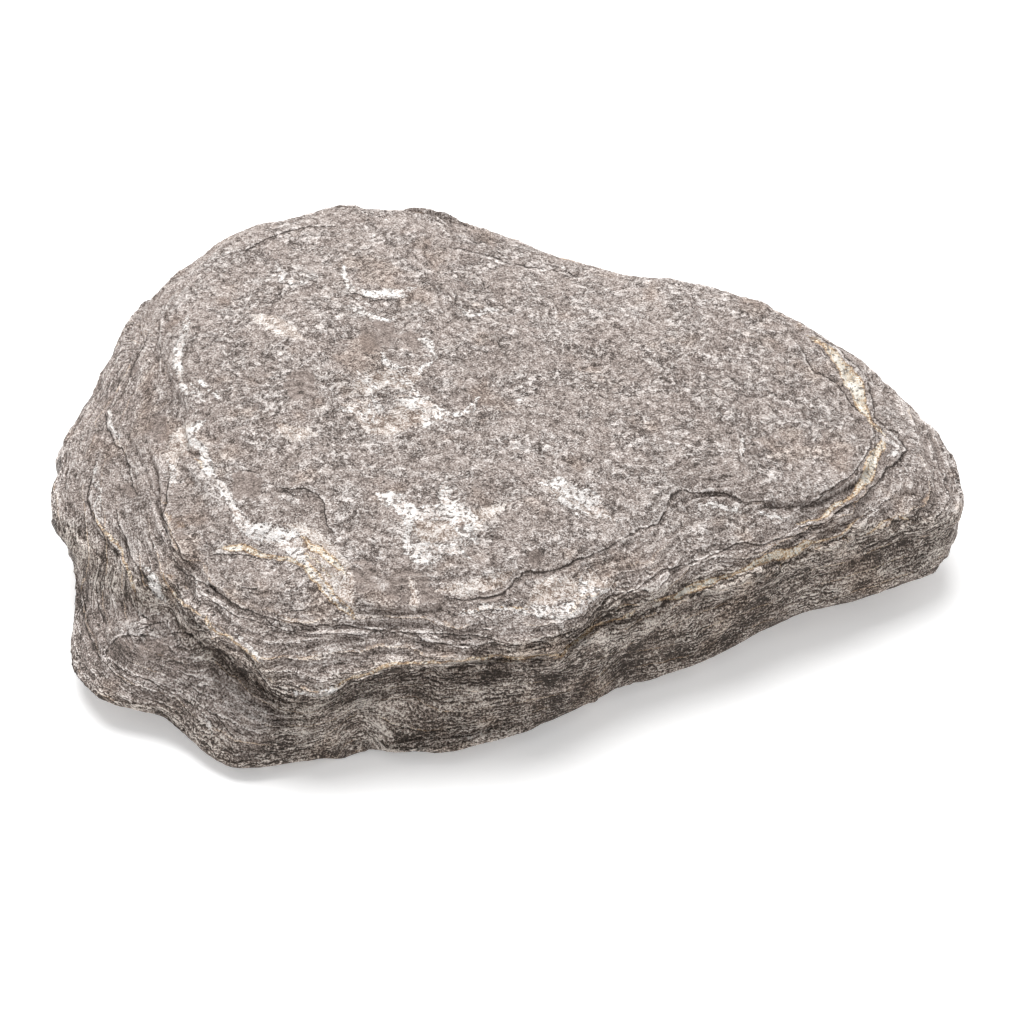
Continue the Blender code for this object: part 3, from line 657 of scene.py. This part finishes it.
def shape_surface(mesh, even_mesh):
    """Gives the mesh its evened ground, sheets, steps, grain, ledges and hollows."""
    points, normals = read(mesh)
    pixels, scale = to_pixels(points)
    facing = seen(points, normals)
    write(mesh, evened(points, read(even_mesh)[0], pixels, facing))
    points, normals = read(mesh)
    layer = guided_layer(points, pixels, facing)
    outward = (points - STONE_MIDDLE) / STONE_REACH ** 2
    outward /= np.linalg.norm(outward, axis=1)[:, None]
    above = smoothstep(*ABOVE_GROUND, points[:, 2])
    steep = smoothstep(*STEEP, normals[:, 2]) * above
    level = smoothstep(*LEVEL, normals[:, 2])
    under = smoothstep(*UNDER, normals[:, 2])
    move = outward * (flank_relief(points, layer) * steep * (1.0 - UNDER_CALM[0] * under))[:, None]
    move[:, 2] += step_relief(points, layer, level) * smoothstep(*STEPPED, normals[:, 2])
    grain = layered_waves(points, GRAIN, SEEDS["grain"]) * above
    move += normals * (grain * (1.0 - UNDER_CALM[1] * under))[:, None]
    drawn = ledge_relief(points, pixels, scale) * above * facing
    drawn += hollow_relief(pixels) * seen(points, normals, *HOLLOWS_SEEN)
    move += outward * drawn[:, None]
    points += move
    points[:, 2] = np.maximum(points[:, 2], 0.0)
    write(mesh, points)


def smoothed(values, edges, count, steps):
    """Average of each vertex's neighbourhood, taken the given number of times."""
    degree = np.bincount(edges.ravel(), minlength=count)[:, None]
    for _ in range(steps):
        total = np.stack([np.bincount(edges[:, 0], values[edges[:, 1], k], count)
                          + np.bincount(edges[:, 1], values[edges[:, 0], k], count)
                          for k in range(values.shape[1])], 1)
        values = 0.5 * values + 0.5 * total / degree
    return values


def surface_directions(mesh, points, normals):
    """The points smoothed a little and a lot, the directions of the broad surface, and how level it lies."""
    edges = np.empty(len(mesh.edges) * 2, np.int32)
    mesh.edges.foreach_get("vertices", edges)
    edges = edges.reshape(-1, 2)
    count = len(points)
    near = smoothed(points, edges, count, NEAR_STEPS)
    broad = smoothed(near, edges, count, BROAD_STEPS)
    directions = smoothed(normals, edges, count, BROAD_STEPS)
    directions /= np.linalg.norm(directions, axis=1)[:, None]
    lie = smoothed(directions, edges, count, LIE_STEPS)
    return near, broad, directions, lie[:, 2] / np.linalg.norm(lie, axis=1)


def painted_shade_and_dirt(points, pixels, directions, facing):
    """How much the stone is darkened at each point by painted shade, partly dirt in the hollows."""
    front = smoothstep(*FRONT, -directions[:, 1])
    shade_and_dirt = smoothstep(*BENEATH, directions[:, 2])
    shade_and_dirt += GROUND_SHADE[0] * smoothstep(GROUND_SHADE[1], 0.0, points[:, 2])
    shade_and_dirt += FRONT_SHADE[0] * smoothstep(*FRONT_SHADE[1:], points[:, 2]) * front
    shade_and_dirt += (HOLLOW_DIRT_AND_SHADE[0] + HOLLOW_DIRT_AND_SHADE[1] * front) * np.clip(-hollow_relief(pixels), *HOLLOW_RANGE) * facing
    return shade_and_dirt + LEFT_SHADE * smoothstep(*LEFT, -directions[:, 0])


def plain_ground(pixels):
    """1 in the middle of the plain dark grey spots, 0 outside them."""
    plain = np.zeros(len(pixels))
    for x, y, radius in PLAIN:
        away = np.hypot(pixels[:, 0] - x, pixels[:, 1] - y)
        plain = np.maximum(plain, smoothstep(*PLAIN_EDGE, away / radius))
    return plain


def paint_masks(mesh):
    """Stores what the finish reads."""
    points, normals = read(mesh)
    near, broad, directions, lie = surface_directions(mesh, points, normals)
    pixels, _ = to_pixels(points)
    facing = seen(points, directions)
    wandering = pixels + stray(points)
    # Painted highlight where the surface bends out, painted shade where it bends in.
    edge = np.sum((points - near) * normals, axis=1)
    bulge = np.sum((points - broad) * normals, axis=1)
    edge_light_and_crease_shade = np.clip(EDGE_TONE * edge + BULGE_TONE * bulge, *EDGE_LIGHT_AND_SHADE_LIMITS)
    blotches = layered_waves(points, BLOTCHES, SEEDS["blotches"])
    layer = cornered_layer(guided_layer(points, pixels, facing), pixels, facing)
    flank = smoothstep(*FLANK, lie)
    masks = {"layer": layer * MM,
             "sheet": step_height(points, layer, 0),
             "flake": step_height(points, layer, 1),
             "flank": flank,
             "slope": smoothstep(*SLOPE, lie),
             "damp": flank * smoothstep(*DAMP, -directions[:, 1]),
             # tone: random blotches, painted highlight and shade by the surface's bends, and painted shade, partly dirt
             # in hollows
             "tone": blotches + edge_light_and_crease_shade - SHADE_AND_DIRT_TONE * painted_shade_and_dirt(points, pixels, directions, facing),
             "flaky": smoothstep(*FLAKY, layered_waves(points, FLAKY_WAVES, SEEDS["flaky"])),
             "rust": smoothstep(*RUST, layered_waves(points, RUST_WAVES, SEEDS["rust"])),
             "plain": plain_ground(wandering) * facing}
    for name, strokes in (("white", WHITE), ("cream", CREAM), ("tan", TAN), ("crack", ledge_strokes())):
        offset, width = stroke_field(wandering, strokes)
        masks[name + "_offset"] = offset
        masks[name + "_width"] = np.where(facing > STROKE_SEEN, width, NO_STROKE)
    for name, values in masks.items():
        mask = mesh.attributes.new(name, "FLOAT", "POINT")
        mask.data.foreach_set("value", values.astype(np.float32))


class Nodes:
    """Builds a material's nodes, with links given as inputs."""

    def __init__(self, name):
        self.material = bpy.data.materials.new(name)
        self.material.use_nodes = True
        self.tree = self.material.node_tree
        self.shader = self.tree.nodes["Principled BSDF"]

    def add(self, kind, inputs=(), **settings):
        node = self.tree.nodes.new("ShaderNode" + kind)
        for name, value in settings.items():
            setattr(node, name, value)
        for name, value in dict(inputs).items():
            self.feed(node.inputs[name], value)
        return node

    def feed(self, socket, value):
        if isinstance(value, bpy.types.NodeSocket):
            self.tree.links.new(value, socket)
        else:
            socket.default_value = value

    def shade(self, name, value):
        self.feed(self.shader.inputs[name], value)

    def math(self, operation, a, b=0.0, c=0.0, clamp=False):
        return self.add("Math", {0: a, 1: b, 2: c}, operation=operation, use_clamp=clamp).outputs[0]

    def times(self, value, *factors):
        for factor in factors:
            value = self.math("MULTIPLY", value, factor)
        return value

    def weighted(self, first, *terms):
        """Sum of values, each times its weight."""
        total = self.times(*first)
        for value, weight in terms:
            total = self.math("MULTIPLY_ADD", value, weight, total)
        return total

    def centred(self, value):
        return self.math("SUBTRACT", value, 0.5)

    def attribute(self, name):
        return self.add("Attribute", attribute_name=name).outputs["Fac"]

    def mix(self, share, a, b, kind="MIX"):
        return self.add("Mix", {0: share, 6: a, 7: b}, data_type="RGBA", blend_type=kind).outputs[2]

    def blend(self, share, a, b):
        return self.add("Mix", {0: share, 2: a, 3: b}, data_type="FLOAT").outputs[0]

    def ramp(self, value, stops):
        node = self.add("ValToRGB", {0: value})
        points = node.color_ramp.elements
        points[0].position = stops[0][0]
        points[1].position = stops[-1][0]
        for place, _ in stops[1:-1]:
            points.new(place)
        for point, (_, colour) in zip(points, stops):
            point.color = (*colour, 1.0) if isinstance(colour, tuple) else (colour, colour, colour, 1.0)
        return node.outputs[0]

    def band(self, value, low, high):
        """0 below low, 1 above high, smooth between; falls instead where low is above high."""
        return self.add("MapRange", {0: value, 1: low, 2: high}, interpolation_type="SMOOTHSTEP").outputs[0]

    def noise(self, vector, scale, detail, roughness, distortion):
        return self.add("TexNoise", {"Vector": vector, "Scale": scale, "Detail": detail, "Roughness": roughness,
                                     "Distortion": distortion}).outputs["Fac"]


def stroke_depth(n, name, ragged):
    """Pixels by which a point lies inside the strokes of a kind, whose outline is roughened by ragged."""
    reach = n.math("SUBTRACT", n.attribute(name + "_width"), n.math("ABSOLUTE", n.attribute(name + "_offset")))
    return n.math("ADD", reach, ragged)


def flake_edges(n, height, count):
    """Painted highlight above and painted shade below each step of a height, between -0.5 and 0.5."""
    return n.centred(n.ramp(n.math("FRACT", n.times(height, count)), STEP_SHADES))


def shared_values(n):
    """The noises and painted values that the parts of the finish have in common."""
    v = SimpleNamespace()
    v.place = n.add("TexCoord").outputs["Object"]
    v.flank = n.attribute("flank")
    v.flaky = n.attribute("flaky")
    v.slope = n.attribute("slope")
    v.damp = n.attribute("damp")
    v.fine = n.centred(n.noise(v.place, *FINE))
    v.flakes = n.noise(v.place, *FLAKES)
    v.middle = n.centred(v.flakes)
    v.plain = n.band(n.weighted((n.attribute("plain"), 1.0), (v.middle, 3.2), (v.fine, 0.8)), 0.45, 0.80)
    v.ragged = n.weighted((v.fine, 4.5), (v.middle, 8.0))

    # Pale crumbs and thin pale lines left by flakes that came off, the lines partly painted highlight on flake edges,
    # on darker ground with dark spots that are partly painted shade in small hollows.
    lines = n.math("ABSOLUTE", n.centred(n.noise(v.place, *LACE_LINES)))
    v.crumbs = n.noise(v.place, *CRUMBS)
    v.lace = n.math("MAXIMUM", n.band(lines, 0.04, 0.008), n.band(v.crumbs, 0.54, 0.60))
    v.hollows = n.band(v.crumbs, 0.44, 0.38)
    v.curls = n.math("SUBTRACT", v.lace, v.hollows)
    v.layer = n.weighted((n.attribute("layer"), 1.0), (v.middle, 0.006), (n.centred(v.crumbs), 0.002),
                         (v.fine, 0.0005))
    return v


def top_pattern(n, v):
    """Speckles of the level ground, with painted highlight and shade at the steps of its flakes."""
    speckled = n.times(n.math("SUBTRACT", 1.0, v.plain), n.blend(v.flaky, 0.35, 1.0), n.blend(v.slope, 1.0, 0.6))
    swirls = n.math("SINE", n.times(v.crumbs, 60.0))
    top = n.weighted((v.fine, 0.95), (n.times(v.lace, speckled), 0.30), (v.hollows, -0.14),
                     (n.times(swirls, speckled), 0.1), (flake_edges(n, v.flakes, 7.0), 0.17), (v.middle, 0.2),
                     (speckled, -0.06), (v.slope, -0.03))
    return n.times(top, n.blend(v.plain, 1.0, 0.6))


def side_pattern(n, v):
    """Thin layers of the flanks, with painted highlight and shade at the edges of thin layers."""
    x, y, _ = n.add("SeparateXYZ", {0: v.place}).outputs
    along = n.add("CombineXYZ", {0: n.times(x, ALONG_SHEETS), 1: n.times(y, ALONG_SHEETS),
                                 2: n.times(v.layer, ACROSS_SHEETS)}).outputs[0]
    scales = n.centred(n.noise(along, *SCALES))
    furrows = n.math("SINE", n.weighted((v.layer, FURROWS), (scales, 22.0)))
    side = n.weighted((n.times(furrows, n.blend(v.flaky, 0.15, 0.24)), 1.0), (v.fine, 1.5), (scales, 0.6),
                      (n.times(flake_edges(n, v.layer, 420.0), v.flaky), 0.3),
                      (n.centred(n.noise(along, *BUNDLES)), 0.8), (v.middle, 0.3))
    return n.times(side, n.blend(v.damp, 0.84, 1.0))


def sheet_edges(n, v):
    """Painted highlight and shade along the edges of sheets and flakes, and those of the sheets alone with their
    number.
    """
    slight = n.weighted((v.middle, 0.5), (v.fine, 0.25))
    flake_lines = flake_edges(n, n.math("ADD", n.attribute("flake"), slight), 1.0)
    sheet_height = n.math("ADD", n.attribute("sheet"), slight)
    sheet_lines = flake_edges(n, sheet_height, 1.0)
    lines = n.weighted((n.times(flake_lines, n.blend(v.flaky, 0.4, 1.0)), 1.0), (n.times(sheet_lines, v.slope), 1.1))
    return n.times(lines, n.blend(v.slope, 0.2, 0.32)), sheet_lines, n.math("FLOOR", sheet_height)


def ledge_shades(n, v):
    """Painted shade in the cracks and painted highlight on the lips above them."""
    ledge = n.math("ADD", n.attribute("crack_offset"), n.times(v.ragged, 0.4))
    width = n.attribute("crack_width")
    dark = n.band(n.math("ABSOLUTE", n.math("ADD", ledge, n.times(width, 0.8))), width, n.times(width, 0.3))
    lip = n.band(n.math("ABSOLUTE", n.math("SUBTRACT", ledge, 1.2)), 1.6, 0.4)
    lip = n.times(lip, n.band(width, 0.0, 0.8), n.blend(v.flaky, 0.2, 1.0))
    return n.times(dark, n.band(width, 0.0, 0.6)), lip


def ground_colour(n, v, pattern, dark, lip):
    """Colour of the schist by its tone, with painted shade in the cracks and painted highlight on the lips."""
    tone = n.weighted((pattern, 1.0), (n.attribute("tone"), 1.0), (v.plain, -0.07), (dark, -0.26), (lip, 0.16))
    colour = n.ramp(n.math("ADD", tone, 0.48), SCHIST_TONES)
    colour = n.mix(n.times(n.attribute("rust"), 0.3), colour, RUST_TINT, "MULTIPLY")
    return n.mix(v.damp, colour, DAMP_TINT, "MULTIPLY")


def vein_colours(n, v, colour, sheet_lines, sheet_number):
    """Lays the pale ground, seams, quartz and pale sheet edges over the ground's colour."""
    white = n.band(stroke_depth(n, "white", n.weighted((v.ragged, 0.7), (v.curls, 1.4))), -0.9, 0.9)
    inside = stroke_depth(n, "cream", n.times(v.ragged, 0.6))
    cream = n.band(inside, -0.7, 0.7)
    faint = n.band(stroke_depth(n, "tan", n.times(v.ragged, 2.2)), -2.0, 2.0)
    quartz = n.ramp(n.math("ADD", n.weighted((v.fine, 0.7), (v.middle, 0.9), (v.curls, 0.12)), 0.5), QUARTZ_TONES)
    core = n.math("ADD", n.band(inside, 0.2, 2.4), 1.9)
    seam = n.ramp(n.weighted((v.fine, 0.7), (v.middle, 0.7), (core, 0.2)), SEAM_TONES)
    pale = n.ramp(n.math("ADD", n.weighted((v.fine, 0.9), (v.middle, 0.8), (v.curls, 0.12)), 0.5), PALE_TONES)
    colour = n.mix(n.times(faint, 0.8), colour, pale)
    colour = n.mix(n.times(cream, 0.9), colour, seam)
    colour = n.mix(n.times(white, 0.96), colour, quartz)
    chance = n.add("TexWhiteNoise", {"W": sheet_number}, noise_dimensions="1D").outputs["Value"]
    lipped = n.times(n.band(sheet_lines, 0.15, 0.4), n.band(chance, 0.58, 0.66), v.slope, n.blend(v.flaky, 0.5, 0.0))
    return n.mix(lipped, colour, seam), n.math("MAXIMUM", white, cream)


def schist_finish():
    n = Nodes("schist_surface")
    v = shared_values(n)
    lines, sheet_lines, sheet_number = sheet_edges(n, v)
    steepness = n.math("MAXIMUM", v.flank, n.times(v.slope, 0.6))
    pattern = n.math("ADD", n.blend(steepness, top_pattern(n, v), side_pattern(n, v)), lines)
    dark, lip = ledge_shades(n, v)
    colour = ground_colour(n, v, pattern, dark, lip)
    colour, veins = vein_colours(n, v, colour, sheet_lines, sheet_number)
    pitted = n.times(n.band(n.noise(v.place, *PITS), 0.43, 0.36), n.band(v.flakes, 0.36, 0.50))
    colour = n.mix(n.times(pitted, veins, 0.8), colour, PIT_COLOUR)
    n.shade("Base Color", colour)
    n.shade("Roughness", n.blend(veins, 0.86, 0.62))
    height = n.weighted((pattern, 1.0), (dark, -0.4), (n.times(n.math("SUBTRACT", 0.25, pitted), veins), 1.0))
    n.shade("Normal", n.add("Bump", {"Strength": 1.0, "Distance": 0.001, "Height": height}).outputs[0])
    return n.material


def build_stone():
    stone = bpy.data.objects.new("weathered_stone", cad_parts[NODE].data.copy())
    bpy.context.scene.collection.objects.link(stone)
    with_modifiers(stone, ("WELD", {"merge_threshold": WELD_GAP * MM}),
                   ("REMESH", {"mode": "VOXEL", "voxel_size": VOXEL * MM}),
                   ("SMOOTH", {"factor": 0.5, "iterations": SMOOTH_STEPS}))
    even = stone.copy()
    bpy.context.scene.collection.objects.link(even)
    with_modifiers(even, ("SMOOTH", {"factor": 0.5, "iterations": EVENING_STEPS}))
    shape_surface(stone.data, even.data)
    bpy.data.objects.remove(even)
    with_modifiers(stone, ("TRIANGULATE", {}))
    faces = len(stone.data.polygons)
    if faces > FACE_BUDGET:
        with_modifiers(stone, ("DECIMATE", {"ratio": FACE_BUDGET / faces}))
    paint_masks(stone.data)
    stone.data.materials.clear()
    stone.data.materials.append(schist_finish())
    stone.data.shade_smooth()
    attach(stone, "root")
    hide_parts(NODE)
    return stone


def build_floor():
    """A pale floor that shines faintly, as a light table does."""
    bpy.ops.mesh.primitive_plane_add(size=FLOOR_SIZE)
    floor = bpy.context.object
    floor.name = "floor"
    n = Nodes("floor")
    n.shade("Base Color", (FLOOR_SHADE, FLOOR_SHADE, FLOOR_SHADE, 1.0))
    n.shade("Roughness", 0.9)
    n.shade("Emission Color", (1.0, 1.0, 1.0, 1.0))
    n.shade("Emission Strength", FLOOR_GLOW)
    floor.data.materials.append(n.material)


def area_light(name, place, size, power):
    data = bpy.data.lights.new(name, "AREA")
    data.shape = "DISK"
    data.size = size
    data.energy = power
    light = bpy.data.objects.new(name, data)
    light.location = place
    light.rotation_euler = (-Vector(place)).to_track_quat("-Z", "Y").to_euler()
    bpy.context.scene.collection.objects.link(light)


def build_studio():
    scene = bpy.context.scene
    scene.view_settings.view_transform = "Standard"
    world = bpy.data.worlds.new("studio")
    world.use_nodes = True
    background = world.node_tree.nodes["Background"].inputs
    background["Color"].default_value = (1.0, 1.0, 1.0, 1.0)
    background["Strength"].default_value = STUDIO_LIGHT
    scene.world = world
    area_light("key", *KEY)


def build_camera():
    data = bpy.data.cameras.new("photo_camera")
    data.lens = LENS
    data.sensor_width = SENSOR
    camera = bpy.data.objects.new("photo_camera", data)
    place, _, ahead = camera_axes()
    camera.location = place * MM
    camera.rotation_euler = Vector(ahead).to_track_quat("-Z", "Y").to_euler()
    bpy.context.scene.collection.objects.link(camera)
    bpy.context.scene.camera = camera


build_stone()
build_floor()
build_studio()
build_camera()
